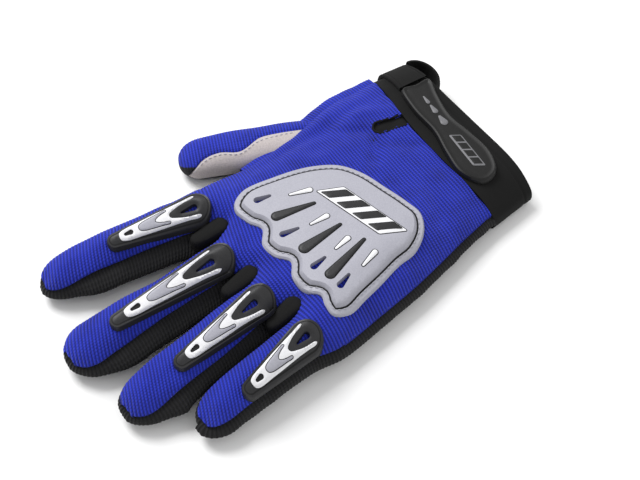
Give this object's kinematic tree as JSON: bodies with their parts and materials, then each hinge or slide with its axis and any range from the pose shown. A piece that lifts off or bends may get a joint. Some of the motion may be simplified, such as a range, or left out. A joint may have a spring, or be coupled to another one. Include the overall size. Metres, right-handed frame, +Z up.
{
  "type": "motocross glove",
  "caption": "Left-hand off-road riding glove lying on its palm: ribbed knit back, moulded knuckle guard, finger armour, leather palm, elastic cuff and wrap-over wrist tab.",
  "frame": {"origin": "middle of the underside of the glove's box, on the surface that it lies on", "axes": "+Y from the wrist to the fingertips, +X to the thumb side, +Z up through the back of the hand"},
  "size_m": [0.1412, 0.2346, 0.0282],
  "materials": {
    "knit_blue": "ribbed knit",
    "knit_black": "fine ribbed knit",
    "neoprene_black": "jersey faced neoprene",
    "palm_leather": "matte split leather",
    "suede_grey": "suede",
    "rubber_black": "satin moulded",
    "rubber_grey": "satin moulded",
    "rubber_white": "gloss moulded"
  },
  "bodies": {
    "root": {"back_panel": "knit_blue", "slit_gusset": "knit_black", "palm_panel": "palm_leather", "thumb_gusset": "knit_blue", "thumb_crotch": "knit_blue", "index_side_wall": "knit_black", "index_middle_fourchette": "knit_black", "middle_ring_fourchette": "knit_black", "ring_little_fourchette": "knit_black", "little_side_band": "knit_black", "thumb_back": "knit_blue", "thumb_pad": "suede_grey", "thumb_under": "palm_leather", "cuff": "neoprene_black", "wrist_strap": "neoprene_black", "pull_loop": "neoprene_black", "closure_tab": "rubber_black", "tab_drop_1": "rubber_grey", "tab_drop_2": "rubber_grey", "tab_drop_3": "rubber_grey", "tab_badge": "rubber_white", "knuckle_guard": "rubber_grey", "guard_white_drop_1": "rubber_white", "guard_white_drop_2": "rubber_white", "guard_white_drop_3": "rubber_white", "guard_white_drop_4": "rubber_white", "guard_black_drop_1": "rubber_black", "guard_black_drop_2": "rubber_black", "guard_black_drop_3": "rubber_black", "guard_badge": "rubber_white", "guard_bar_1": "rubber_black", "guard_bar_2": "rubber_black", "guard_bar_3": "rubber_black", "guard_bar_4": "rubber_black", "index_armour": "rubber_black", "index_fork": "rubber_white", "index_inlay": "rubber_grey", "middle_armour": "rubber_black", "middle_fork": "rubber_white", "middle_inlay": "rubber_grey", "ring_armour": "rubber_black", "ring_fork": "rubber_white", "ring_inlay": "rubber_grey", "little_armour": "rubber_black", "little_fork": "rubber_white", "little_inlay": "rubber_grey"}
  },
  "joints": []
}
